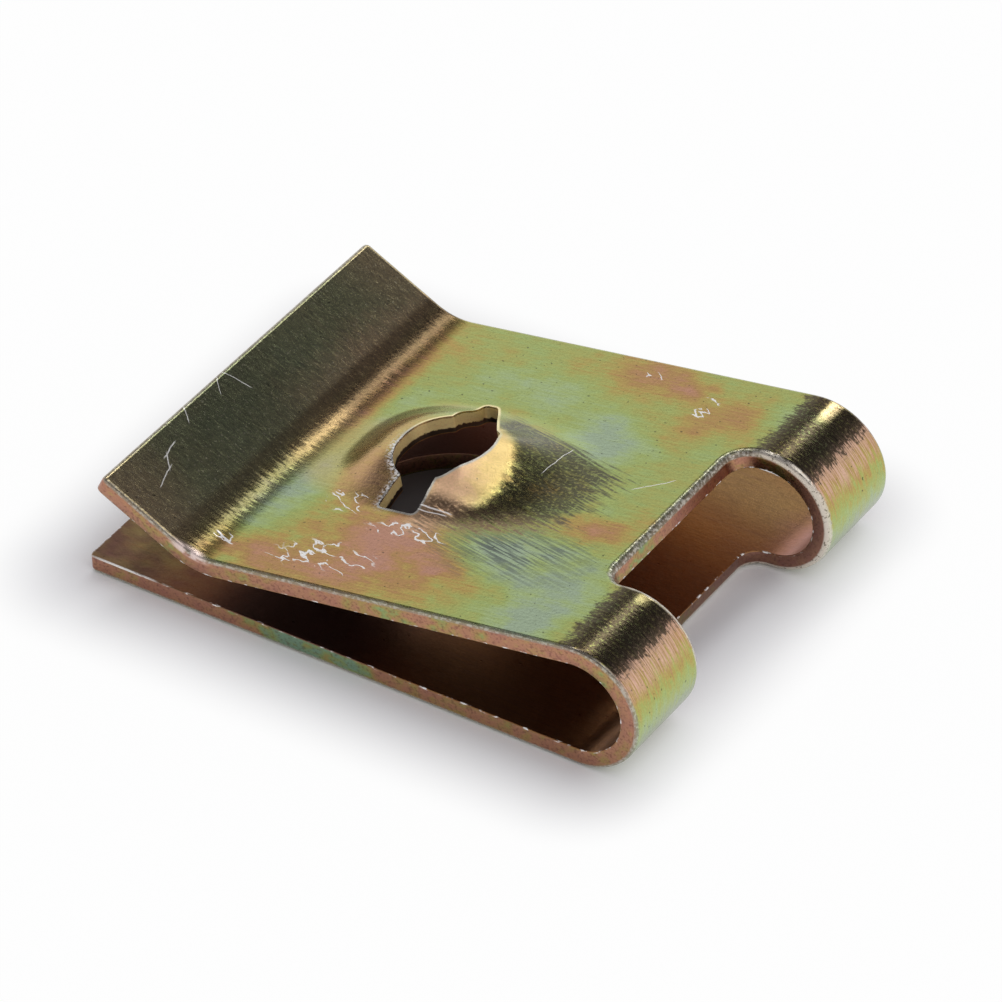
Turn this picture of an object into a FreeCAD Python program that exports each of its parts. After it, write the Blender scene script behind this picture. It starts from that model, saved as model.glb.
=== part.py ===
import FreeCAD, Part
import math
import os
from FreeCAD import Placement, Rotation, Vector

# U clip speed nut, in millimetres.
# One strip of spring steel is folded back on itself. The flat lower leg lies behind the panel's hole,
# the upper leg springs down towards the mouth and carries the pressed thread for the screw, and a lip
# turned up at its end lets the panel in. The fold is slotted, so that two narrow loops do the springing.
# Origin: where the screw's axis meets the underside of the lower leg.
# +X points to the fold, +Y across the strip, +Z up through the upper leg.

# Sheet and fold
strip_width = 12.0
sheet_thickness = 0.5
fold_height = 3.6
lower_leg_length = 16.5
screw_to_fold = 9.4
upper_leg_slope = 9.2
upper_leg_straight = 10.63
strip_corner_radius = 0.15
edge_roll_radius = 0.12

# Lip at the mouth
lip_fold_radius = 1.8
lip_turn = 36.8
lip_straight = 2.5

# Slot through the fold
slot_width = 6.2
slot_reach_upper = 2.75
slot_reach_lower = 2.35
slot_corner_radius = 0.6
slot_roll_radius = 0.2

# Clearance hole in the lower leg
clearance_hole_diameter = 5.7

# Pressed thread in the upper leg: two prongs round the screw, parted by two slits.
# The slit towards +Y has torn: it is wide at the opening and narrow at its end.
screw_opening_diameter = 2.8
pilot_diameter = 2.5
press_reach_to_fold = 4.5
press_reach_to_mouth = 3.0
press_half_width = 2.6
press_squareness = 2.6
press_flare = 0.95
press_flare_change = 0.35
slit_width = 1.15
slit_offset = -0.05
slit_reach = 2.4
slit_end_radius = 0.15
torn_slit_reach = 2.6
torn_slit_end_width = 0.42
torn_slit_mouth_width = 1.4

# Height of the prongs' rim over the leg, in turn round the screw: angle from +X, height
rim_heights = [
    (-72.0, 0.475),
    (-35.0, 0.76),
    (15.0, 0.78),
    (62.0, 0.42),
    (105.0, 0.50),
    (145.0, 0.50),
    (190.0, 0.43),
    (250.0, 0.27),
]

# Rows and columns of the pressed surface
press_columns = 72
press_rows = 10


def polar(centre, radius, angle):
    """Point in the section plane, at an angle in degrees from +X towards +Z."""
    turn = math.radians(angle)
    return centre + Vector(radius * math.cos(turn), 0, radius * math.sin(turn))


def arc(centre, radius, start, end):
    """Arc in the section plane between two angles."""
    middle = (start + end) / 2
    return Part.Arc(
        polar(centre, radius, start),
        polar(centre, radius, middle),
        polar(centre, radius, end),
    ).toShape()


def line(start, end):
    return Part.LineSegment(start, end).toShape()


# Section of the folded strip, from the lower leg's end round the fold to the lip
fold_radius = fold_height / 2
fold_centre = Vector(screw_to_fold - fold_radius, 0, fold_radius)
mouth_x = screw_to_fold - lower_leg_length

leg_up = 90 + upper_leg_slope
lip_up = leg_up - lip_turn
towards_mouth = Rotation(Vector(0, 1, 0), -upper_leg_slope).multVec(Vector(-1, 0, 0))


def section_side(depth):
    """Edges of the strip's skin at a depth under its outer face, and their two ends."""
    fold_start = polar(fold_centre, fold_radius - depth, -90)
    leg_start = polar(fold_centre, fold_radius - depth, leg_up)
    leg_end = leg_start + towards_mouth * upper_leg_straight
    lip_centre = polar(leg_end, lip_fold_radius + depth, leg_up)
    lip_radius = lip_fold_radius + depth
    lip_start = polar(lip_centre, lip_radius, lip_up + 180)
    lip_end = polar(lip_start, lip_straight, lip_up + 90)
    mouth_end = Vector(mouth_x, 0, depth)
    edges = [
        line(mouth_end, fold_start),
        arc(fold_centre, fold_radius - depth, -90, leg_up),
        line(leg_start, leg_end),
        arc(lip_centre, lip_radius, leg_up + 180, lip_up + 180),
        line(lip_start, lip_end),
    ]
    return edges, mouth_end, lip_end


def folded_strip():
    outer, outer_mouth, outer_lip = section_side(0)
    inner, inner_mouth, inner_lip = section_side(sheet_thickness)
    lip_cut = line(outer_lip, inner_lip)
    mouth_cut = line(inner_mouth, outer_mouth)
    section = Part.Face(Part.Wire(outer + [lip_cut] + inner[::-1] + [mouth_cut]))
    section.translate(Vector(0, -strip_width / 2, 0))
    strip = section.extrude(Vector(0, strip_width, 0))
    corners = [edge for edge in strip.Edges if abs(edge.Length - sheet_thickness) < 1e-6]
    return strip.makeFillet(strip_corner_radius, corners)


def on_outer_face(face):
    """Whether a face lies on the outer face of the folded sheet."""
    outer = Part.Wire(section_side(0)[0])
    corners = [Part.Vertex(corner.X, 0, corner.Z) for corner in face.Vertexes]
    return all(outer.distToShape(corner)[0] < 1e-6 for corner in corners)


def roll_edges(strip, radius, farthest):
    """The die rolls the outer face over at its cut edges, out to a distance from the middle line."""
    outer_faces = [face for face in strip.Faces if on_outer_face(face)]
    edges = [edge for face in outer_faces for edge in face.Edges]
    cut_edges = [
        edge
        for edge in edges
        if sum(edge.isSame(other) for other in edges) == 1
        and max(abs(edge.BoundBox.YMin), abs(edge.BoundBox.YMax)) < farthest
    ]
    return strip.makeFillet(radius, cut_edges)


# The upper leg's own frame: its origin is on the leg's top face over the screw, its X runs up the leg
leg_top_at_fold = polar(fold_centre, fold_radius, leg_up)
leg_top_height = leg_top_at_fold.z - leg_top_at_fold.x * math.tan(math.radians(upper_leg_slope))
upper_leg_place = Placement(
    Vector(0, 0, leg_top_height),
    Rotation(Vector(0, 1, 0), -upper_leg_slope),
)


def rounded_slab(low_x, high_x, half_width, radius, low_z, high_z):
    """Block with upright edges rounded at its low X end only."""
    block = Part.makeBox(
        high_x - low_x,
        2 * half_width,
        high_z - low_z,
        Vector(low_x, -half_width, low_z),
    )
    corners = [
        edge
        for edge in block.Edges
        if edge.BoundBox.XMax < low_x + radius and edge.BoundBox.ZLength > high_z - low_z - radius
    ]
    return block.makeFillet(radius, corners)


def fold_slot():
    """The slot is punched square to the sheet, so each end is cut square to its own leg."""
    beyond = screw_to_fold + fold_height
    half_width = slot_width / 2
    upper_end = (screw_to_fold - slot_reach_upper) / math.cos(math.radians(upper_leg_slope))
    upper = rounded_slab(
        upper_end, beyond, half_width, slot_corner_radius, -fold_radius, fold_radius
    )
    upper = on_upper_leg(upper)
    lower = rounded_slab(
        screw_to_fold - slot_reach_lower,
        beyond,
        half_width,
        slot_corner_radius,
        -sheet_thickness,
        fold_radius,
    )
    middle_x = fold_centre.x + fold_radius / 2
    middle = Part.makeBox(
        beyond - middle_x,
        slot_width,
        3 * fold_height,
        Vector(middle_x, -half_width, -fold_height),
    )
    return upper.fuse([lower, middle]).removeSplitter()


def rim_height(angle):
    """Height of the rim at an angle in degrees: a smooth rise or fall between the named heights."""
    stations = rim_heights + [(rim_heights[0][0] + 360, rim_heights[0][1])]
    angle = (angle - stations[0][0]) % 360 + stations[0][0]
    for (start, low), (end, high) in zip(stations, stations[1:]):
        if angle <= end:
            share = (1 - math.cos(math.pi * (angle - start) / (end - start))) / 2
            return low + (high - low) * share
    return stations[-1][1]


def foot_radius(angle):
    """Distance from the screw to where the pressed form runs out into the flat leg."""
    along = math.cos(math.radians(angle))
    across = math.sin(math.radians(angle))
    reach = press_reach_to_fold if along > 0 else press_reach_to_mouth
    total = abs(along / reach) ** press_squareness + abs(across / press_half_width) ** press_squareness
    return total ** (-1 / press_squareness)


def press_point(angle, row):
    """Point of the pressed form, from the pilot hole in row 0 to its foot in the last row.

    Towards the fold the form flares out long and low, and towards the mouth it drops at its foot.
    """
    share = row / press_rows
    radius = pilot_diameter / 2 * (1 - share) + foot_radius(angle) * share
    turn = math.radians(angle)
    flare = press_flare - press_flare_change * math.cos(turn)
    height = rim_height(angle) * (1 + math.cos(math.pi * share**flare)) / 2
    return Vector(radius * math.cos(turn), radius * math.sin(turn), height)


def press_surface():
    """One smooth surface right round the screw, with its seam in a slit."""
    seam = 90.0
    grid = []
    for column in range(press_columns + 1):
        angle = seam + 360 * column / press_columns
        grid.append([press_point(angle, row) for row in range(press_rows + 1)])
    surface = Part.BSplineSurface()
    surface.interpolate(grid)
    return surface


def on_upper_leg(shape, depth=0.0):
    """A shape of the upper leg's frame, put in its place at a depth under the leg's top face."""
    shape.translate(Vector(0, 0, -depth))
    shape.Placement = upper_leg_place.multiply(shape.Placement)
    return shape


def pressed_strip(strip):
    """The strip with both faces of its upper leg drawn up into the form round a pilot hole."""
    form = press_surface()
    foot = form.vIso(1.0).toShape()
    pilot = form.vIso(0.0).toShape()
    kept = list(strip.Faces)
    made = [on_upper_leg(pilot.extrude(Vector(0, 0, -sheet_thickness)))]
    for depth in (0.0, sheet_thickness):
        window = on_upper_leg(Part.Face(Part.Wire(foot.copy())), depth)
        flat = min(kept, key=lambda face: face.distToShape(window)[0] - face.common(window).Area)
        kept.remove(flat)
        made += flat.cut(window).Faces
        made.append(on_upper_leg(form.toShape(), depth))
    shell = Part.makeShell(kept + made)
    shell.sewShape()
    return Part.makeSolid(shell)


def screw_opening():
    """The pilot hole is opened out to the screw's size, square to the upper leg."""
    return on_upper_leg(Part.makeCylinder(screw_opening_diameter / 2, 2 * fold_radius), fold_radius)


def screw_slits():
    """The slits between the prongs, cut square to the upper leg."""
    low_x = slit_offset - slit_width / 2
    high_x = slit_offset + slit_width / 2
    opening_radius = screw_opening_diameter / 2
    torn_x = low_x + torn_slit_mouth_width
    outline = [
        Vector(low_x, -slit_reach),
        Vector(high_x, -slit_reach),
        Vector(high_x, 0),
        Vector(torn_x, 0),
        Vector(torn_x, math.sqrt(opening_radius**2 - torn_x**2)),
        Vector(low_x + torn_slit_end_width, torn_slit_reach),
        Vector(low_x, torn_slit_reach),
    ]
    face = Part.Face(Part.makePolygon(outline + outline[:1]))
    slits = face.extrude(Vector(0, 0, 2 * fold_radius))
    ends = [
        edge
        for edge in slits.Edges
        if edge.BoundBox.ZLength > fold_radius and abs(edge.BoundBox.YMin) > opening_radius
    ]
    return on_upper_leg(slits.makeFillet(slit_end_radius, ends), fold_radius)


def clearance_hole():
    return Part.makeCylinder(
        clearance_hole_diameter / 2,
        2 * sheet_thickness,
        Vector(0, 0, -sheet_thickness / 2),
    )


clip = roll_edges(folded_strip(), edge_roll_radius, strip_width)
clip = clip.cut(fold_slot()).Solids[0]
clip = roll_edges(clip, slot_roll_radius, slot_width / 2 + sheet_thickness)
clip = pressed_strip(clip)
for opening in (screw_opening(), screw_slits(), clearance_hole()):
    clip = clip.cut(opening).Solids[0]

os.makedirs("parts", exist_ok=True)
clip.exportStep("parts/clip.step")
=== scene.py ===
import math

import bmesh
import bpy
from mathutils import Matrix, Vector
from mathutils.kdtree import KDTree


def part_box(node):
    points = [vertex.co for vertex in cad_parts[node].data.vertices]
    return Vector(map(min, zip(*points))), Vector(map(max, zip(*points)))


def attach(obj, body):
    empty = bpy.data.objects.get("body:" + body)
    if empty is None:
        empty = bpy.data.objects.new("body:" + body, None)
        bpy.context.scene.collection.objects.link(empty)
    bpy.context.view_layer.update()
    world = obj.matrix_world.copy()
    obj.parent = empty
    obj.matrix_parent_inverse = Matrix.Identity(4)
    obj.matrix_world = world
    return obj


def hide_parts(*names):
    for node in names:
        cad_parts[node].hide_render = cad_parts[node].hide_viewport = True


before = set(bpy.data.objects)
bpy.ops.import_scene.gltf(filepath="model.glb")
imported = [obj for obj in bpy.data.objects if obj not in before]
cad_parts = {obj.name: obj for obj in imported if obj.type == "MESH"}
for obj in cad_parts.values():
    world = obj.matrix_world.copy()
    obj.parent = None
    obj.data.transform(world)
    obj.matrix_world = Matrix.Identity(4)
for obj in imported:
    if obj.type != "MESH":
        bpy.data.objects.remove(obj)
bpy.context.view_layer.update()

millimetre = 0.001


# Camera
# A long lens over the corner between the clip's fold and its near side, looking down on the upper leg.
# It aims at the point of the clip, at half its height, that shows in the middle of the picture.
aim = Vector((1.58, -0.04, 1.80)) * millimetre
camera_distance = 169.05 * millimetre
camera_azimuth = math.radians(33.909)
camera_elevation = math.radians(37.702)
camera_roll = math.radians(-1.511)
camera_lens = 239.28
camera_sensor = 36.0

camera = bpy.data.objects.new("camera", bpy.data.cameras.new("camera"))
bpy.context.scene.collection.objects.link(camera)
camera_tilt = math.pi / 2 - camera_elevation
camera_turn = Matrix.Rotation(camera_azimuth, 4, "Z") @ Matrix.Rotation(camera_tilt, 4, "X")
camera_place = aim + camera_turn.to_3x3() @ Vector((0, 0, camera_distance))
camera.matrix_world = Matrix.Translation(camera_place) @ camera_turn @ Matrix.Rotation(camera_roll, 4, "Z")
camera.data.sensor_width = camera_sensor
camera.data.lens = camera_lens
camera.data.clip_start = 10 * millimetre
camera.data.clip_end = 10.0
bpy.context.scene.camera = camera
bpy.context.scene.view_settings.view_transform = "Standard"


# Table and light
# The clip lies on a white table in a pale room. The light is soft: a wide panel overhead, a long narrow
# window and pale walls. Above the walls the room is dim, which gives the plated steel its dark bands.
class Tap:
    """One output of a shader node. Arithmetic with taps adds the Math nodes that work it out."""

    def __init__(self, tree, socket=None):
        self.tree = tree
        self.socket = socket

    def node(self, kind, inputs, output=0, **settings):
        """Adds any node: its settings first, then the numbers, colours or taps of its inputs."""
        node = self.tree.nodes.new("ShaderNode" + kind)
        stops = settings.pop("stops", None)
        for name, value in settings.items():
            setattr(node, name, value)
        if stops:
            while len(node.color_ramp.elements) < len(stops):
                node.color_ramp.elements.new(1.0)
            for element, (place, colour) in zip(node.color_ramp.elements, stops):
                element.position = place
                element.color = (*colour, 1)
        for name, value in inputs.items():
            if isinstance(value, Tap):
                self.tree.links.new(value.socket, node.inputs[name])
            else:
                node.inputs[name].default_value = value
        return Tap(self.tree, node.outputs[output] if node.outputs else None)

    def math(self, operation, *values):
        return self.node("Math", dict(enumerate(values)), operation=operation)

    def part(self, axis):
        """The X, Y or Z of a place or a direction."""
        return self.node("SeparateXYZ", {0: self}, output=axis)

    def mix(self, factor, first, second):
        """Colour from the first to the second as the factor goes from 0 to 1."""
        return self.node("Mix", {0: factor, 6: first, 7: second}, output=2, data_type="RGBA")

    def __add__(self, other):
        return self.math("ADD", self, other)

    def __radd__(self, other):
        return self.math("ADD", other, self)

    def __sub__(self, other):
        return self.math("SUBTRACT", self, other)

    def __rsub__(self, other):
        return self.math("SUBTRACT", other, self)

    def __mul__(self, other):
        return self.math("MULTIPLY", self, other)

    def __rmul__(self, other):
        return self.math("MULTIPLY", other, self)

    def __truediv__(self, other):
        return self.math("DIVIDE", self, other)

    def __abs__(self):
        return self.math("ABSOLUTE", self)


def larger(first, second):
    """The larger of two values at each point."""
    return first.math("MAXIMUM", first, second)


def diagonal(x, y):
    """Length of the slanting line that runs x one way and y the other."""
    return x.math("SQRT", x * x + y * y)


def rise(value, start, end):
    """0 up to the start, then smoothly to 1 at the end. The end may be the lower of the two."""
    inputs = {"Value": value, "From Min": start, "From Max": end}
    return value.node("MapRange", inputs, interpolation_type="SMOOTHSTEP")


table_half = 1500 * millimetre
table_top = -0.01 * millimetre
table_glow = 0.97
shade_reach = 3.6 * millimetre
contact_middle = 0.4 * millimetre
contact_length = 14.2 * millimetre
contact_width = 11.5 * millimetre
# Painted shadow under the screw's opening: where it fades out, and the colours of shadow and white paper
shadow_spot_inner = 3 * millimetre
shadow_spot_outer = 4 * millimetre
paper_painted_shadow = (0.12, 0.11, 0.11, 1)
paper_white = (0.93, 0.93, 0.94, 1)

form = bmesh.new()
bmesh.ops.create_grid(form, x_segments=1, y_segments=1, size=table_half)
bmesh.ops.translate(form, verts=form.verts, vec=(0, 0, table_top))
table_mesh = bpy.data.meshes.new("table")
form.to_mesh(table_mesh)
form.free()
table = bpy.data.objects.new("table", table_mesh)
bpy.context.scene.collection.objects.link(table)

# The paper shows plain white, except close round the clip, where it keeps the clip's shadow. Under the
# screw's opening it has a painted shadow, dark as it shows through the opening.
paper = bpy.data.materials.new("white_paper")
paper.use_nodes = True
paper.node_tree.nodes.clear()
tap = Tap(paper.node_tree)
seen = tap.node("LightPath", {}, output="Is Camera Ray") + tap.node("LightPath", {}, output="Is Glossy Ray")
table_place = tap.node("TexCoord", {}, output="Object")
table_x = table_place.part("X")
table_y = table_place.part("Y")
beside_x = larger(abs(table_x - contact_middle) - contact_length / 2, 0.0)
beside_y = larger(abs(table_y) - contact_width / 2, 0.0)
open_table = rise(diagonal(beside_x, beside_y), 0.0, shade_reach)
# Painted shadow: the paper is dark near the screw's axis
painted_shadow_spot = {"Value": diagonal(table_x, table_y), "From Min": shadow_spot_inner, "From Max": shadow_spot_outer}
paper_shade = tap.mix(tap.node("MapRange", painted_shadow_spot), paper_painted_shadow, paper_white)
lit_paper = tap.node("BsdfDiffuse", {"Color": paper_shade})
white = tap.node("Emission", {"Strength": 1.0})
table_surface = {0: seen * open_table * table_glow, 1: lit_paper, 2: white}
tap.node("OutputMaterial", {"Surface": tap.node("MixShader", table_surface)})
table.data.materials.append(paper)

backdrop_white = (1, 1, 1, 1)
wall_white = (0.95, 0.95, 0.95)
dim_ceiling = (0.090, 0.085, 0.115)
wall_top = 0.48
ceiling_start = 0.61

world = bpy.data.worlds.new("room")
bpy.context.scene.world = world
world.use_nodes = True
world.node_tree.nodes.clear()
tap = Tap(world.node_tree)
upward = tap.node("TexCoord", {}, output="Generated").part("Z")
room_stops = [(wall_top, wall_white), (ceiling_start, dim_ceiling)]
room = tap.node("ValToRGB", {0: upward}, stops=room_stops)
seen_directly = tap.node("LightPath", {}, output="Is Camera Ray")
backdrop = tap.mix(seen_directly, room, backdrop_white)
tap.node("OutputWorld", {"Surface": tap.node("Background", {"Color": backdrop})})

# Each lamp: its direction from the clip, the way that it is long, its width, length and power
lamp_distance = 600 * millimetre
lamps = [
    ("window", (-0.27, 0.46, 0.85), (0.20, 0.58, -0.20), 80 * millimetre, 880 * millimetre, 0.95),
    ("overhead", (0.50, -0.12, 0.86), (0, 1, 0), 400 * millimetre, 400 * millimetre, 0.75),
]
for name, direction, long_way, width, length, watts in lamps:
    lamp = bpy.data.objects.new(name, bpy.data.lights.new(name, "AREA"))
    lamp.data.shape = "RECTANGLE"
    lamp.data.size = width
    lamp.data.size_y = length
    lamp.data.energy = watts
    back = Vector(direction).normalized()
    side = Vector(long_way).cross(back).normalized()
    turn = Matrix((side, back.cross(side), back)).transposed().to_4x4()
    lamp.matrix_world = Matrix.Translation(back * lamp_distance) @ turn
    bpy.context.scene.collection.objects.link(lamp)


# The clip: its blank
# One strip of spring steel, punched flat: a long slot where the fold will be, a round clearance hole
# for the lower leg, and an opening with two slits for the pressed thread. Flat sizes are in
# millimetres: x along the strip from the screw, y across, z out of the outer face.
cad_low, cad_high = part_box("clip")
strip_width = (cad_high.y - cad_low.y) / millimetre
strip_reach = (cad_high.x - cad_low.x) / millimetre
screw_to_fold = cad_high.x / millimetre
fold_radius = (cad_high.z - cad_low.z) / millimetre / 2
sheet_thickness = 0.5
strip_corner_radius = 0.15
upper_leg_slope = math.radians(9.2)
upper_leg_straight = 10.63
lip_fold_radius = 1.8
lip_turn = math.radians(36.8)
lip_straight = 2.5

# Straight and bent stretches along the outer face, from the lower leg's end: length and turn
lower_leg_straight = strip_reach - fold_radius
fold_turn = math.pi + upper_leg_slope
fold_run = fold_radius * fold_turn
lip_fold_run = lip_fold_radius * lip_turn
stretches = [
    (lower_leg_straight, 0.0),
    (fold_run, fold_turn),
    (upper_leg_straight, 0.0),
    (lip_fold_run, -lip_turn),
    (lip_straight, 0.0),
]
blank_length = sum(length for length, turn in stretches)
fold_axis_x = (screw_to_fold - fold_radius) / math.cos(upper_leg_slope)
fold_end_x = fold_axis_x - fold_radius * math.tan(upper_leg_slope)
lower_end_x = fold_end_x + fold_run + lower_leg_straight
lower_bend_x = lower_end_x - lower_leg_straight
lip_end_x = lower_end_x - blank_length
lip_bend_x = lip_end_x + lip_straight
clearance_hole_x = lower_end_x + cad_low.x / millimetre

slot_width = 6.2
slot_reach_upper = 2.75
slot_reach_lower = 2.35
slot_corner_radius = 0.6
slot_corner_steps = 10
corner_steps = 4
slot_low_x = (screw_to_fold - slot_reach_upper) / math.cos(upper_leg_slope)
slot_high_x = clearance_hole_x - (screw_to_fold - slot_reach_lower)

clearance_hole_diameter = 5.7
clearance_hole_sides = 96
screw_opening_diameter = 2.8
slit_width = 1.15
slit_offset = -0.05
slit_reach = 2.4
slit_end_radius = 0.15
torn_slit_reach = 2.6
torn_slit_end_width = 0.42
torn_slit_mouth_width = 1.4


def rounded(corners, radius, steps):
    """A closed outline through the corners, each turned into an arc of that radius."""
    outline = []
    for index, corner in enumerate(corners):
        before = (corners[index - 1] - corner).normalized()
        after = (corners[(index + 1) % len(corners)] - corner).normalized()
        half = before.angle(after) / 2
        centre = corner + (before + after).normalized() * radius / math.sin(half)
        start = corner + before * radius / math.tan(half) - centre
        end = corner + after * radius / math.tan(half) - centre
        for step in range(steps + 1):
            outline.append(centre + start.slerp(end, step / steps).normalized() * radius)
    return outline


def box_corners(low_x, high_x, half_width):
    return [
        Vector((low_x, -half_width, 0)),
        Vector((high_x, -half_width, 0)),
        Vector((high_x, half_width, 0)),
        Vector((low_x, half_width, 0)),
    ]


def polar(radius, turn):
    return Vector((radius * math.cos(turn), radius * math.sin(turn), 0))


def all_round(sides):
    """Directions round the screw, in radians."""
    return [2 * math.pi * side / sides for side in range(sides)]


def even_sides(outline, sides):
    """A fine closed outline again, with fewer corners at an even spacing."""
    lengths = [(end - start).length for start, end in zip(outline, outline[1:] + outline[:1])]
    pitch = sum(lengths) / sides
    corners = []
    walked = 0.0
    for point, length in zip(outline, lengths):
        if walked >= len(corners) * pitch and len(corners) < sides:
            corners.append(point)
        walked += length
    return corners


def reach(turn, outline):
    """How far a ray from the screw's axis runs until it leaves a convex outline, or 0 if it misses."""
    ray = polar(1.0, turn)
    farthest = 0.0
    for start, end in zip(outline, outline[1:] + outline[:1]):
        side = end - start
        across = ray.cross(side).z
        if across and 0 <= start.cross(ray).z / across <= 1:
            farthest = max(farthest, start.cross(side).z / across)
    return farthest


def keyhole():
    """The thread's opening with its two slits, as a fine outline."""
    radius = screw_opening_diameter / 2
    low_x = slit_offset - slit_width / 2
    slit = rounded(box_corners(low_x, low_x + slit_width, slit_reach), slit_end_radius, corner_steps)
    torn_x = low_x + torn_slit_mouth_width
    torn_corners = [
        Vector((low_x, 0, 0)),
        Vector((torn_x, 0, 0)),
        Vector((torn_x, math.sqrt(radius**2 - torn_x**2), 0)),
        Vector((low_x + torn_slit_end_width, torn_slit_reach, 0)),
        Vector((low_x, torn_slit_reach, 0)),
    ]
    torn_slit = rounded(torn_corners, slit_end_radius, corner_steps)
    outline = []
    for turn in all_round(fine_sides):
        slit_here = slit if turn > math.pi else torn_slit
        outline.append(polar(max(radius, reach(turn, slit_here)), turn))
    return outline


def foot_radius(turn):
    """Distance from the screw to where the pressed form runs out into the flat leg."""
    along = press_reach_to_fold if math.cos(turn) > 0 else press_reach_to_mouth
    total = abs(math.cos(turn) / along) ** press_squareness
    total += abs(math.sin(turn) / press_half_width) ** press_squareness
    return total ** (-1 / press_squareness)


def draw(form, outline):
    """Edges of a closed outline on the sheet."""
    ring = bmesh.ops.create_circle(form, segments=len(outline), radius=1.0)["verts"]
    for vert, place in zip(ring, outline):
        vert.co = place
    return list(dict.fromkeys(edge for vert in ring for edge in vert.link_edges))


fine_sides = 3600
opening_sides = 208
press_rows = 24
press_margin = 0.25
press_reach_to_fold = 4.5
press_reach_to_mouth = 3.0
press_half_width = 2.6
press_squareness = 2.6

form = bmesh.new()
opening_edges = draw(form, even_sides(keyhole(), opening_sides))
bmesh.ops.extrude_edge_only(form, edges=opening_edges)
press_edges = [edge for edge in form.edges if edge.is_boundary and edge not in opening_edges]
for vert in {vert for edge in press_edges for vert in edge.verts}:
    turn = math.atan2(vert.co.y, vert.co.x)
    vert.co = polar(foot_radius(turn) + press_margin, turn)
rays = [edge for edge in form.edges if not edge.is_boundary]
bmesh.ops.subdivide_edges(form, edges=rays, cuts=press_rows - 1, use_grid_fill=True)
outside = rounded(box_corners(lip_end_x, lower_end_x, strip_width / 2), strip_corner_radius, corner_steps)
slot = rounded(box_corners(slot_low_x, slot_high_x, slot_width / 2), slot_corner_radius, slot_corner_steps)
hole_centre = Vector((clearance_hole_x, 0, 0))
hole_turns = all_round(clearance_hole_sides)
clearance_hole = [hole_centre + polar(clearance_hole_diameter / 2, turn) for turn in hole_turns]
flat_edges = draw(form, outside) + draw(form, slot) + draw(form, clearance_hole) + press_edges
bmesh.ops.triangle_fill(form, edges=flat_edges, normal=(0, 0, 1), use_beauty=True)
form.normal_update()
bmesh.ops.reverse_faces(form, faces=[face for face in form.faces if face.normal.z < 0])


# The clip: its cut edges
# Punching rolls the outer face over at its edges, most at the slot, and leaves a fine burr along the
# other side. Both edges of the round holes are crisp.
roll_radius = 0.12
slot_roll_radius = 0.2
burr_radius = 0.02
roll_steps = 5
slot_roll_steps = 7
burr_steps = 2
roughly_level = 0.5
quite_level = 0.9999

bmesh.ops.solidify(form, geom=form.faces[:], thickness=sheet_thickness)


def cut_corners(depth, test):
    """Edges between a face of the sheet, at a depth, and a cut side, where the test holds."""
    corners = []
    for edge in form.edges:
        flat = sum(abs(face.normal.z) > roughly_level for face in edge.link_faces)
        middle = (edge.verts[0].co + edge.verts[1].co) / 2
        if flat == 1 and abs(middle.z + depth) < sheet_thickness / 2 and test(middle):
            corners.append(edge)
    return corners


def round_off(corners, radius, steps):
    """Each corner of the sheet turned into an arc of that radius."""
    sizes = {"offset": radius, "segments": steps, "profile": 0.5}
    bmesh.ops.bevel(form, geom=corners, affect="EDGES", material=-1, **sizes)


def on_clearance_hole(place):
    return (place - hole_centre).length < clearance_hole_diameter / 2 + sheet_thickness


def on_slot(place):
    beyond = max(slot_low_x - place.x, place.x - slot_high_x, abs(place.y) - slot_width / 2)
    return beyond < sheet_thickness


def on_thread(place):
    return place.length < press_reach_to_mouth


form.normal_update()
round_off(cut_corners(0.0, on_slot), slot_roll_radius, slot_roll_steps)
punched = [on_thread, on_slot, on_clearance_hole]
side_corners = cut_corners(0.0, lambda place: not any(test(place) for test in punched))
round_off(side_corners, roll_radius, roll_steps)
burred_corners = cut_corners(sheet_thickness, lambda place: not on_thread(place))
round_off(cut_corners(0.0, on_clearance_hole) + burred_corners, burr_radius, burr_steps)
form.normal_update()

# A level face keeps a sharp line where it meets a rounded corner, so that it shades flat
for edge in form.edges:
    edge.smooth = sum(abs(face.normal.z) > quite_level for face in edge.link_faces) != 1


# The clip: its fold, lip and pressed thread
# The thread's two prongs are pressed up round the opening, so that their rims follow one turn of
# the screw. The strip is then folded back over itself and its free end turned up into the lip.
rim_heights = [
    (-72.0, 0.475),
    (-35.0, 0.76),
    (15.0, 0.78),
    (62.0, 0.42),
    (105.0, 0.50),
    (145.0, 0.50),
    (190.0, 0.43),
    (250.0, 0.27),
]
pilot_radius = 1.25
press_flare = 0.95
press_flare_change = 0.35
fold_lines = 60
lip_lines = 14


def rim_height(turn):
    """Height of the prongs' rim: it rises or falls smoothly between the named angles and heights."""
    stations = rim_heights + [(rim_heights[0][0] + 360, rim_heights[0][1])]
    angle = (math.degrees(turn) - stations[0][0]) % 360 + stations[0][0]
    for (start, low), (end, high) in zip(stations, stations[1:]):
        if angle <= end:
            share = (1 - math.cos(math.pi * (angle - start) / (end - start))) / 2
            return low + (high - low) * share
    return stations[-1][1]


def pressed_height(place):
    turn = math.atan2(place.y, place.x)
    radius = math.hypot(place.x, place.y)
    foot = foot_radius(turn)
    if radius >= foot or radius == 0:
        return 0.0
    share = max(0.0, (radius - pilot_radius) / (foot - pilot_radius))
    flare = press_flare - press_flare_change * math.cos(turn)
    return rim_height(turn) * (1 + math.cos(math.pi * share**flare)) / 2


def folded(distance):
    """Place on the outer face at a distance from the lower leg's end, and the way out of the sheet."""
    place = Vector((cad_low.x / millimetre, 0, 0))
    heading = 0.0
    for length, turn in stretches:
        step = max(0.0, min(distance, length))
        if turn:
            radius = length / turn
            start = heading
            heading += turn * step / length
            place.x += radius * (math.sin(heading) - math.sin(start))
            place.z -= radius * (math.cos(heading) - math.cos(start))
        else:
            place += Vector((math.cos(heading), 0, math.sin(heading))) * step
        distance -= step
    return place, Vector((math.sin(heading), 0, -math.cos(heading)))


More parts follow.
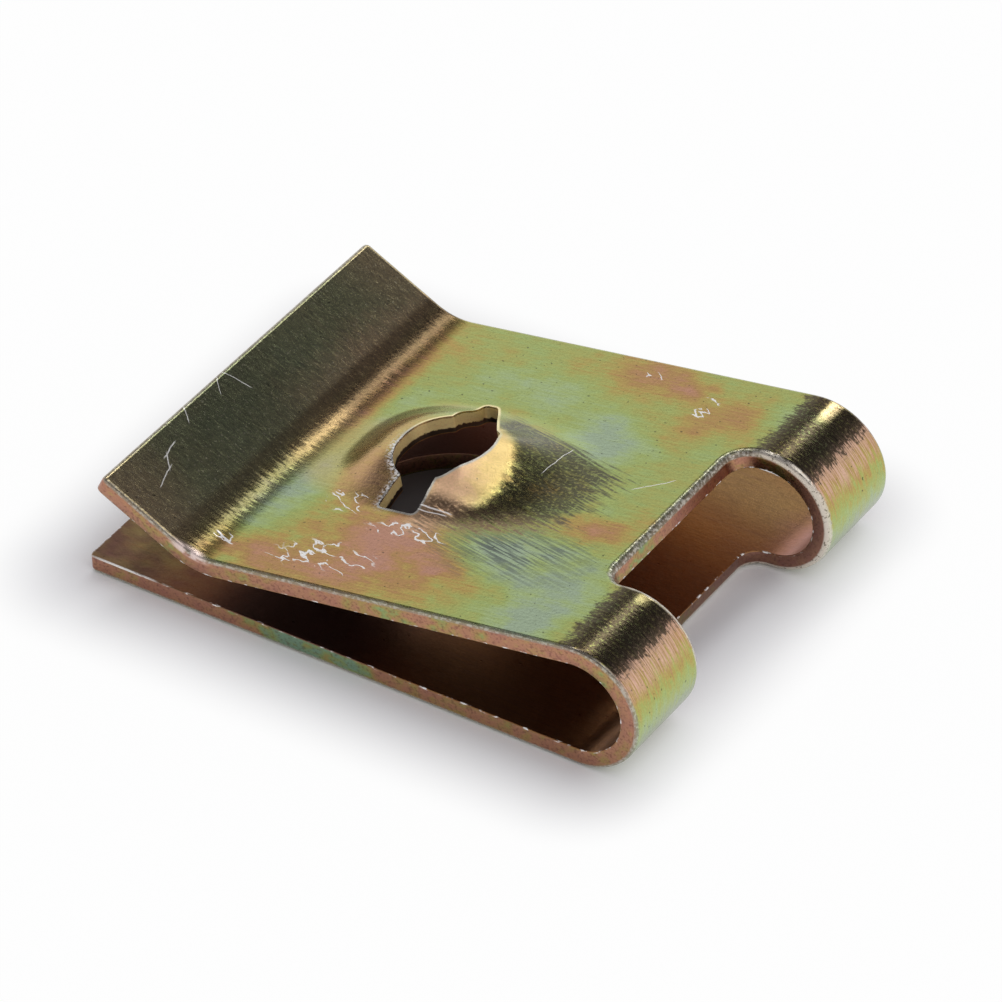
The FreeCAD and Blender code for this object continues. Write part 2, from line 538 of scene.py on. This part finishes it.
def scribe(low_x, high_x, lines):
    """Lines across the strip, along which a bend is made."""
    for line in range(lines + 1):
        x = low_x + (high_x - low_x) * line / lines
        everything = form.verts[:] + form.edges[:] + form.faces[:]
        bmesh.ops.bisect_plane(form, geom=everything, dist=1e-5, plane_co=(x, 0, 0), plane_no=(1, 0, 0))


scribe(fold_end_x, lower_bend_x, fold_lines)
scribe(lip_bend_x, lip_bend_x + lip_fold_run, lip_lines)

rim_points = KDTree(fine_sides)
for index, point in enumerate(keyhole()):
    rim_points.insert(point, index)
rim_points.balance()

blank = form.verts.layers.float_vector.new("blank")
from_rim = form.verts.layers.float.new("from_rim")
for vert in form.verts:
    vert[blank] = vert.co
    vert[from_rim] = rim_points.find((vert.co.x, vert.co.y, 0))[2]
    lift = vert.co.z + pressed_height(vert.co)
    place, outward = folded(lower_end_x - vert.co.x)
    vert.co = (place + outward * lift + Vector((0, vert.co.y, 0))) * millimetre
for face in form.faces:
    face.smooth = True
bmesh.ops.recalc_face_normals(form, faces=form.faces)

strip_mesh = bpy.data.meshes.new("folded_strip")
form.to_mesh(strip_mesh)
form.free()
strip = bpy.data.objects.new("folded_strip", strip_mesh)
bpy.context.scene.collection.objects.link(strip)
weighted = strip.modifiers.new("even_shading", "WEIGHTED_NORMAL")
weighted.keep_sharp = True
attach(strip, "root")
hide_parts("clip")


# The clip: its plating
# Zinc with a yellow passivation, whose film shows pink, gold, green and teal by its thickness. The
# steel's brushed streaks run along the strip and show most where it is bent. The film is thin and
# brown inside the fold and on the cut edges, and handling has worn it from the corners. Painted shade
# and painted highlights stand in for some of its reflections: on the thread, the fold, the lip and the
# edges.
plating = bpy.data.materials.new("yellow_zinc")
plating.use_nodes = True
plating.node_tree.nodes.clear()
tap = Tap(plating.node_tree)

# Places on the blank, in millimetres: along it from the screw, across it, and down from the outer face
flat_place = tap.node("Attribute", {}, output="Vector", attribute_name="blank")
along = flat_place.part("X")
across = flat_place.part("Y")
depth = flat_place.part("Z") * -1.0


def grain(length, width, detail=2.0, turn=0.0, shift=0.0):
    """Noise from 0 to 1 on the blank, with grains of that size in millimetres."""
    scale = (1 / length, 1 / width, 1 / width)
    turned = tap.node("Mapping", {"Vector": flat_place, "Rotation": (0, 0, turn)})
    place = tap.node("Mapping", {"Vector": turned, "Location": (shift, shift, shift), "Scale": scale})
    return tap.node("TexNoise", {"Vector": place, "Scale": 1.0, "Detail": detail})


def swing(noise, amount):
    """Noise about 0, up to half the amount either way."""
    return (noise - 0.5) * amount


def band(value, low, high, soft):
    """1 between two values, fading to 0 over a soft margin outside each."""
    return rise(value, low - soft, low) * rise(value, high + soft, high)


# Distances, in millimetres, from the thread's rim and from the cut edges
from_rim_edge = tap.node("Attribute", {}, output="Fac", attribute_name="from_rim")
slot_run = larger(slot_low_x - along, along - slot_high_x)
beyond_x = larger(slot_run + slot_corner_radius, 0.0)
beyond_y = larger(abs(across) - slot_width / 2 + slot_corner_radius, 0.0)
from_slot = diagonal(beyond_x, beyond_y) - slot_corner_radius
from_side = strip_width / 2 - abs(across)
from_end = tap.math("MINIMUM", along - lip_end_x, lower_end_x - along)
from_edge = tap.math("MINIMUM", tap.math("MINIMUM", from_slot, from_side), from_end)

# Noises that the patterns share
ragged = swing(grain(1.3, 0.9, detail=3.0), 1.5)
brushed = grain(1.6, 0.07, detail=3.0, shift=5.0)
brushed_aslant = grain(1.4, 0.08, detail=3.0, turn=0.30, shift=6.0)
hairlines = grain(1.3, 0.035, detail=3.0, shift=23.0)
mottled = grain(0.35, 0.22, detail=4.0, shift=15.0)
specks = grain(0.09, 0.07, shift=8.0)

# Distance from the screw, and how far out on the pressed form, which is 1 at its foot
from_screw = diagonal(along, across)
foot_x = tap.math("POWER", abs(along) / press_reach_to_fold, press_squareness)
foot_y = tap.math("POWER", abs(across) / press_half_width, press_squareness)
press_share = tap.math("POWER", foot_x + foot_y, 1 / press_squareness)


def patch(middle_x, middle_y, reach_x, reach_y):
    """A soft, ragged patch of the blank, 1 in its middle."""
    scale = (1 / reach_x, 1 / reach_y, 0)
    location = (-middle_x / reach_x, -middle_y / reach_y, 0)
    place = tap.node("Mapping", {"Vector": flat_place, "Location": location, "Scale": scale})
    distance = tap.node("VectorMath", {0: place}, output="Value", operation="LENGTH")
    return rise(distance + ragged, 1.6, 0.0)


def line_mark(start_x, start_y, end_x, end_y, width):
    """A scratch from one point of the blank to another."""
    start = Vector((start_x, start_y, 0))
    way = Vector((end_x, end_y, 0)) - start
    angle = -math.atan2(way.y, way.x)
    location = Matrix.Rotation(angle, 3, "Z") @ -start
    place = tap.node("Mapping", {"Vector": flat_place, "Rotation": (0, 0, angle), "Location": location})
    aside = place.part("Y") + swing(grain(0.6, 0.6, shift=17.0), 0.12)
    return rise(abs(aside), width, width * 0.4) * band(place.part("X"), 0.0, way.length, 0.15)


# The sheet's faces by their depth, and the cut edges at the slot and round the thread
outer_face = rise(depth, 0.06, 0.02)
inner_face = rise(depth, 0.47, 0.485)
cut_face = rise(depth, 0.03, 0.07) * rise(depth, 0.485, 0.47)
at_slot = rise(from_slot, 0.5, 0.3)
at_rim = rise(from_rim_edge, 1.0, 0.5)

# Film thickness: clouds in the bath, with thicker and thinner patches. x, y, reach x, reach y, change
film_middle = 0.44
film_clouds = 0.8
film_mottle = 0.35
film_streaks = 0.3
film_patches = [
    (5.9, -4.0, 1.4, 1.6, -0.45),
    (3.7, -3.0, 1.6, 0.9, -0.50),
    (5.6, -5.3, 1.4, 0.7, -0.25),
    (3.6, 2.2, 1.3, 0.9, -0.45),
    (7.2, 4.6, 0.6, 0.9, -0.30),
    (-3.2, -2.6, 0.8, 1.7, -0.45),
    (-2.7, 1.0, 0.5, 1.2, -0.30),
    (0.5, 3.6, 2.2, 1.0, -0.22),
    (0.4, -3.4, 2.2, 1.2, 0.60),
    (-0.6, -5.2, 3.4, 0.9, 0.50),
    (2.3, -4.1, 1.1, 0.7, 0.18),
    (-1.2, -1.6, 0.9, 0.9, 0.40),
    (-3.6, 2.6, 0.5, 3.4, 0.40),
    (5.6, 4.3, 1.6, 1.2, 0.35),
    (2.8, 5.2, 1.8, 0.9, 0.34),
    (5.2, -1.4, 1.0, 0.5, 0.40),
    (-1.9, -0.6, 0.7, 1.5, 0.30),
    (1.2, -0.3, 1.0, 1.2, 0.50),
]
film = film_middle + swing(grain(2.2, 1.8, detail=3.0), film_clouds)
film = film + swing(grain(0.5, 0.35, detail=4.0, shift=7.0), film_mottle)
film = film + swing(brushed, film_streaks)
for middle_x, middle_y, reach_x, reach_y, change in film_patches:
    film = film + patch(middle_x, middle_y, reach_x, reach_y) * change
film_colours = [
    (0.00, (0.35, 0.44, 0.30)),
    (0.16, (0.38, 0.48, 0.23)),
    (0.34, (0.37, 0.45, 0.15)),
    (0.50, (0.41, 0.41, 0.12)),
    (0.64, (0.47, 0.34, 0.10)),
    (0.78, (0.45, 0.26, 0.10)),
    (0.90, (0.50, 0.26, 0.15)),
    (1.00, (0.50, 0.26, 0.18)),
]
film_colour = tap.node("ValToRGB", {0: film}, stops=film_colours)

# The lip is duller, and browner along its root and its ends. Its dark olive and its smudge are partly
# painted shade, for the dim room that the lip reflects.
lip_olive_and_shade = (0.16, 0.18, 0.11, 1)
lip_pale_olive = (0.40, 0.39, 0.22, 1)
lip_smudge_and_shade = (0.10, 0.13, 0.09, 1)
lip_brown = (0.58, 0.42, 0.25, 1)
lip_speck = (0.95, 0.88, 0.62, 1)
root_shade_brown = (0.12, 0.08, 0.05, 1)
root_dulling_brown = (0.15, 0.10, 0.05, 1)
lip = rise(along + ragged * 0.2, -3.8, -4.5)
lip_tone = mottled * 0.6 + grain(0.9, 0.06, detail=3.0, shift=19.0) * 0.6 - 0.1
lip_colour = tap.mix(lip_tone, lip_olive_and_shade, lip_pale_olive)
lip_colour = tap.mix(patch(-6.0, -1.2, 1.4, 2.6) * 0.5, lip_colour, lip_smudge_and_shade)
browner_root = rise(along + mottled, -5.4, -3.9) * rise(across, -1.5, 3.0)
browner_ends = rise(abs(across), 3.6, 6.0) * 0.7
lip_colour = tap.mix(larger(browner_root, browner_ends), lip_colour, lip_brown)
lip_colour = tap.mix(rise(specks, 0.60, 0.72) * 0.45, lip_colour, lip_speck)
colour = tap.mix(lip * 0.85, film_colour, lip_colour)
# Painted shade along the lip's root: a dark line in the crease, and a dull brown over the window's
# reflection there, most on the far side
painted_root_shade = band(along, -4.15, -3.85, 0.18) * (0.40 + rise(across, -2.5, 1.0) * 0.45)
colour = tap.mix(painted_root_shade, colour, root_shade_brown)
painted_root_dulling = band(along, -4.5, -3.7, 0.3) * (0.75 - brushed * 0.4 + rise(across, -1.5, 1.0) * 0.20)
colour = tap.mix(painted_root_dulling, colour, root_dulling_brown)

# The thread's flank has painted shade in streaks, dark where it reflects the dim room. The crest above it
# has a painted highlight, pale gold and less metallic.
slate = (0.10, 0.12, 0.11, 1)
highlight_pink_gold = (1.0, 0.64, 0.38, 1)
highlight_yellow_gold = (1.0, 0.74, 0.28, 1)
flank_shade_black = (0.06, 0.055, 0.03, 1)
flank_shade_brown = (0.20, 0.13, 0.08, 1)
press_back_light_gold = (0.62, 0.44, 0.20, 1)
press_side = rise(along, 0.2, 0.8)
flank_start = from_screw + across * 0.35 + swing(mottled, 0.7)
shaded_flank = larger(rise(flank_start, 1.85, 2.25), rise(across, -1.5, -1.9)) * press_side
flank_foot = press_share + swing(brushed_aslant, 1.0) + swing(mottled, 0.3)
flank_far_end = across + along * 0.3 + swing(brushed_aslant, 1.2)
shaded_flank = shaded_flank * rise(flank_foot, 1.15, 0.90) * rise(flank_far_end, 2.6, 2.2)
highlight_crest = rise(from_screw + across * 0.35, 2.3, 1.7) * press_side * rise(across, 1.7, 1.1)
slate_patch = patch(3.8, -2.9, 2.0, 1.0) * rise(brushed_aslant, 0.43, 0.55)
colour = tap.mix(slate_patch * 0.9, colour, slate)
# Painted highlight on the crest, pale pink to yellow gold
painted_highlight_gold = tap.mix(rise(along + across * 0.5 + mottled, 0.9, 2.1), highlight_pink_gold, highlight_yellow_gold)
colour = tap.mix(highlight_crest * 0.9, colour, painted_highlight_gold)
# Painted shade on the flank: near black, browner at its front, with lighter gaps
flank_shade_gaps = rise(specks, 0.50, 0.66) * 0.40 + rise(mottled, 0.50, 0.70) * 0.20
flank_shade_colour = tap.mix(rise(across, -1.0, -2.2), flank_shade_black, flank_shade_brown)
colour = tap.mix(shaded_flank * (0.94 - flank_shade_gaps), colour, flank_shade_colour)
# Painted light: a lighter gold on the back of the pressed form, softening the dim room's reflection there
painted_light_press_back = rise(along, 0.0, -0.6) * rise(press_share, 1.05, 0.8) * rise(across, 1.6, 0.6)
colour = tap.mix(painted_light_press_back * 0.45, colour, press_back_light_gold)

# The fold has a band of painted shade, dark and mottled, and a painted gold gleam on each loop. Past it
# come pink, gold and green, one after the other, and painted shade in dull olive, darker towards the
# bottom.
low_shade_olive = (0.21, 0.18, 0.12, 1)
loop_pink = (0.85, 0.55, 0.46, 1)
painted_gleam_gold = (0.80, 0.62, 0.34, 1)
fold_shade_brown = (0.08, 0.055, 0.04, 1)
fold_place = along + swing(mottled, 0.8) + swing(specks, 0.5)
loop_film = 1.05 - (along - 9.0) * 0.50 + swing(hairlines, 0.8) + swing(mottled, 0.9)
loop_colour = tap.node("ValToRGB", {0: loop_film}, stops=film_colours)
loop_side = rise(fold_place, 8.6, 9.1) * rise(along, 13.0, 11.5)
colour = tap.mix(loop_side * 0.8, colour, loop_colour)
# Painted shade: the fold's lower part is darker and olive
painted_low_shade = rise(along, 10.8, 12.4) * rise(along, 16.0, 14.0)
colour = tap.mix(painted_low_shade * 0.45, colour, low_shade_olive)
fold_pink = band(along + swing(hairlines, 1.5), 8.9, 9.6, 0.4) * rise(hairlines, 0.44, 0.56)
colour = tap.mix(fold_pink * 0.5, colour, loop_pink)
# Painted highlight: a gold gleam across each loop
gleam_across = larger(band(across, -3.5, -3.3, 0.2) * 0.5, rise(across, 4.8, 5.4))
painted_gleam = gleam_across * band(along, 7.95, 8.20, 0.12)
colour = tap.mix(painted_gleam * 0.8, colour, painted_gleam_gold)
# Painted shade: a dark mottled band round the fold
painted_shade_band = band(fold_place + swing(hairlines, 0.6), 7.35, 8.95, 0.2) * (1.0 - painted_gleam)
shade_band_strength = 0.93 - rise(specks, 0.50, 0.70) * 0.40
colour = tap.mix(painted_shade_band * shade_band_strength, colour, fold_shade_brown)

# Inside the fold the film is brown. On the cut edges it runs from copper through gold to green. Round
# the thread they are pale gold, with a dark torn lower edge.
inside_brown = (0.32, 0.15, 0.06, 1)
inside_gold = (0.36, 0.21, 0.08, 1)
inside_orange = (0.42, 0.20, 0.06, 1)
inside_pink = (0.42, 0.19, 0.15, 1)
inside_red = (0.20, 0.10, 0.07, 1)
mouth_copper = (0.40, 0.17, 0.06, 1)
inside = tap.mix(rise(along, 17.5, 21.0), inside_brown, inside_red)
inside = tap.mix(patch(lower_bend_x + 1.2, 5.4, 3.0, 1.6), inside, inside_gold)
inside = tap.mix(patch(lower_bend_x + 2.6, 2.8, 1.8, 1.4), inside, inside_orange)
inside = tap.mix(patch(lower_bend_x - 1.2, 4.2, 1.1, 2.0), inside, inside_pink)
inside = tap.mix(rise(hairlines, 0.48, 0.66) * 0.25, inside, inside_red)
mouth_colour = tap.mix(0.40, film_colour, mouth_copper)
inside = tap.mix(patch(26.8, -4.4, 2.4, 2.4) * rise(ragged, -0.3, 0.4), inside, mouth_colour)
colour = tap.mix(inner_face, colour, inside)

edge_colours = [
    (0.00, (0.38, 0.17, 0.13)),
    (0.38, (0.43, 0.22, 0.13)),
    (0.55, (0.38, 0.27, 0.10)),
    (0.68, (0.28, 0.34, 0.13)),
    (0.85, (0.22, 0.34, 0.23)),
]
edge_speck = (0.12, 0.05, 0.04, 1)
slot_edge_shade_brown = (0.12, 0.08, 0.06, 1)
rim_gold = (1.0, 0.80, 0.38, 1)
torn_steel = (0.08, 0.06, 0.045, 1)
edge_film = 0.30 + swing(grain(2.4, 2.4, detail=3.0, shift=3.0), 1.5) + swing(mottled, 0.9)
edge_film = edge_film + patch(21.2, -6.0, 2.6, 2.0) * 0.6 + patch(-2.6, -6.0, 1.0, 1.0) * 0.25
edge_colour = tap.node("ValToRGB", {0: edge_film}, stops=edge_colours)
edge_colour = tap.mix(rise(specks, 0.50, 0.68) * 0.45, edge_colour, edge_speck)
# Painted shade on the slot's cut faces in the fold
edge_colour = tap.mix(at_slot * rise(along, 7.5, 9.0) * 0.4, edge_colour, slot_edge_shade_brown)
edge_colour = tap.mix(at_rim, edge_colour, rim_gold)
torn_line = depth + swing(grain(0.12, 0.12, detail=3.0, shift=4.0), 0.12)
torn = rise(torn_line, 0.33, 0.37) * at_rim
edge_colour = tap.mix(torn, edge_colour, torn_steel)
colour = tap.mix(cut_face, colour, edge_colour)
rim_wall = at_rim * cut_face * (1.0 - torn)

# A fine grain all over, and dark pits on the outer face
pit_black = (0.03, 0.03, 0.02, 1)
fine_grain = grain(0.07, 0.05)
red_green_shade = 0.78 + fine_grain * 0.44
blue_shade = 0.74 + fine_grain * 0.52
shade = tap.node("CombineXYZ", {0: red_green_shade, 1: red_green_shade, 2: blue_shade})
colour = tap.node("VectorMath", {0: colour, 1: shade}, output="Vector", operation="MULTIPLY")
pits = rise(grain(0.13, 0.11, detail=1.0, shift=21.0), 0.29, 0.24)
colour = tap.mix(pits * outer_face * 0.7, colour, pit_black)

# Wear and painted light: a grey, speckled band on the rolled corners, brighter round the fold's slot,
# over a dark base that is painted shade on the roll; painted glints on the burr and round the thread;
# and painted highlights along the thread's rim and at the lip's bend
worn_zinc = (0.55, 0.53, 0.46, 1)
worn_bright = (0.74, 0.68, 0.58, 1)
worn_and_shaded_brown = (0.30, 0.26, 0.20, 1)
slot_roll_shade = (0.17, 0.16, 0.12, 1)
bare_zinc_and_glint = (1.0, 0.98, 0.95, 1)
bend_highlight_pink = (0.95, 0.76, 0.70, 1)
rim_highlight_gold = (0.95, 0.82, 0.45, 1)
from_corner = from_edge + swing(specks, 0.10) + swing(mottled, 0.12)
# Partly wear, partly painted shade: the rolled corners' band is dark brown, darkest at the slot, with grey
# worn specks
corner_wear_and_shade = rise(from_corner, 0.11 + at_slot * 0.09, 0.05 + at_slot * 0.07)
corner_wear_and_shade = corner_wear_and_shade * rise(depth, 0.12 + at_slot * 0.06, 0.07 + at_slot * 0.06)
worn = tap.mix(rise(specks, 0.46, 0.62), tap.mix(at_slot, worn_and_shaded_brown, slot_roll_shade), worn_zinc)
worn = tap.mix(at_slot * rise(along, 7.0, 7.6) * rise(specks, 0.30, 0.45), worn, worn_bright)
colour = tap.mix(corner_wear_and_shade * (0.75 + at_slot * 0.1), colour, worn)
# Painted highlight: a bright line along the thread's rim, grey on the near side and gold on the far side
painted_rim_highlight = rise(from_rim_edge, 0.09, 0.03) * outer_face
colour = tap.mix(painted_rim_highlight, colour, tap.mix(rise(across, 0.2, 0.8), worn_zinc, rim_highlight_gold))
# Painted highlight: a pale pink spot on the rolled edge at the lip's bend
painted_bend_highlight = patch(-4.0, -6.0, 0.45, 0.15) * rise(depth, 0.22, 0.12) * rise(mottled, 0.30, 0.50)
colour = tap.mix(painted_bend_highlight, colour, bend_highlight_pink)
# Painted glints along the burr, most at the lower leg's end
painted_glints = rise(grain(0.30, 0.12, detail=3.0, shift=13.0), 0.54, 0.64)
painted_glints = larger(painted_glints, patch(lower_end_x - 0.9, -6.0, 1.2, 1.0) * rise(mottled, 0.35, 0.50))
burr_glints = rise(from_edge, 0.05, 0.02) * rise(depth, 0.45, 0.47) * painted_glints
# Painted glints round the thread
rim_glints = rise(from_rim_edge, 0.25, 0.05) * patch(-1.3, -1.2, 1.0, 1.4) * rise(specks, 0.46, 0.56)

# White scratches on the leg and the lip: where curled ones lie, x, y, reach x, reach y, and straight
# ones, from x, y to x, y and their width
scratch_patches = [
    (-1.5, -2.5, 0.7, 0.5),
    (0.7, -3.1, 1.3, 0.35),
    (-0.7, -4.8, 1.4, 0.7),
    (5.0, 4.2, 0.35, 0.25),
    (5.0, 4.75, 0.4, 0.2),
    (2.9, 5.3, 0.35, 0.2),
    (-3.6, -5.0, 0.4, 0.3),
]
straight_scratches = [
    (2.80, 0.2, 2.85, 1.4, 0.016),
    (-7.0, -0.75, -6.1, -0.5, 0.018),
    (-7.0, -0.8, -6.5, -1.3, 0.014),
    (-6.9, -2.4, -6.5, -2.7, 0.018),
    (-6.3, -3.6, -6.2, -4.1, 0.025),
    (-6.2, -4.05, -5.9, -4.3, 0.025),
    (-5.9, -4.25, -5.7, -4.9, 0.020),
    (0.5, -2.06, 1.4, -2.13, 0.028),
    (0.6, -2.20, 1.3, -2.22, 0.022),
    (5.3, 0.6, 6.0, 1.2, 0.02),
]
scratched = patch(*scratch_patches[0])
for scratch_patch in scratch_patches[1:]:
    scratched = larger(scratched, patch(*scratch_patch))
curl_lines = abs(grain(0.9, 0.4, detail=2.5, turn=0.4, shift=11.0) - 0.5)
curls = rise(curl_lines, 0.026, 0.010) * rise(mottled, 0.38, 0.46)
scratches = curls * rise(scratched, 0.30, 0.55)
for straight_scratch in straight_scratches:
    scratches = larger(scratches, line_mark(*straight_scratch) * 0.8)
# Bare zinc for the scratches, and painted glints on the burr and round the thread
bare_and_glints = larger(scratches * outer_face, larger(burr_glints, rim_glints * outer_face))
colour = tap.mix(bare_and_glints, colour, bare_zinc_and_glint)

# Streaks: each tips the surface a little along the strip, so that a reflection ends in a ragged fringe.
# The pressed form is a little uneven too: flatter on its flank, steeper at its front.
dimple_depth = 0.004 * millimetre
lip_root = band(along, -4.6, -3.7, 0.5)
loop_bend = band(along, 7.4, 9.8, 0.4)
uneven = highlight_crest * (rise(across, -1.0, -1.5) * 0.10 - band(across, -1.1, -0.4, 0.2) * 0.04) - shaded_flank * 0.12
root_streaks = lip_root * (0.30 - rise(across, -2.0, 0.5) * 0.20)
streak_depth = 0.06 - inner_face * 0.045 + root_streaks + loop_bend * 0.18
streaks = swing(brushed, streak_depth) + uneven + swing(brushed_aslant, shaded_flank) * 0.30
dimples = grain(0.10, 0.09, detail=3.0, shift=2.0) * (1.0 + lip * 0.7)
bumped = tap.node("Bump", {"Strength": 1.0, "Distance": dimple_depth, "Height": dimples}, output="Normal")
strip_way = tap.node("VectorMath", {0: (0, 1, 0), 1: bumped}, output="Vector", operation="CROSS_PRODUCT")
tilt = tap.node("VectorMath", {0: strip_way, "Scale": streaks}, output="Vector", operation="SCALE")
tilted = tap.node("VectorMath", {0: bumped, 1: tilt}, output="Vector", operation="ADD")
normal = tap.node("VectorMath", {0: tilted}, output="Vector", operation="NORMALIZE")

metallic = 1.0 - larger(larger(bare_and_glints, painted_bend_highlight) * 0.8, corner_wear_and_shade * 0.40)
# The crest's painted highlight is less metallic, so that its pale gold shows bright
metallic = metallic - highlight_crest * (1.0 - shaded_flank) * 0.60 - rim_wall * 0.35
roughness = 0.24 + swing(grain(0.3, 0.1, detail=3.0, shift=9.0), 0.2)
roughness = roughness + inner_face * 0.08 + cut_face * 0.10 + highlight_crest * 0.10
surface = {"Base Color": colour, "Metallic": metallic, "Roughness": roughness, "Normal": normal}
tap.node("OutputMaterial", {"Surface": tap.node("BsdfPrincipled", surface)})
strip.data.materials.append(plating)
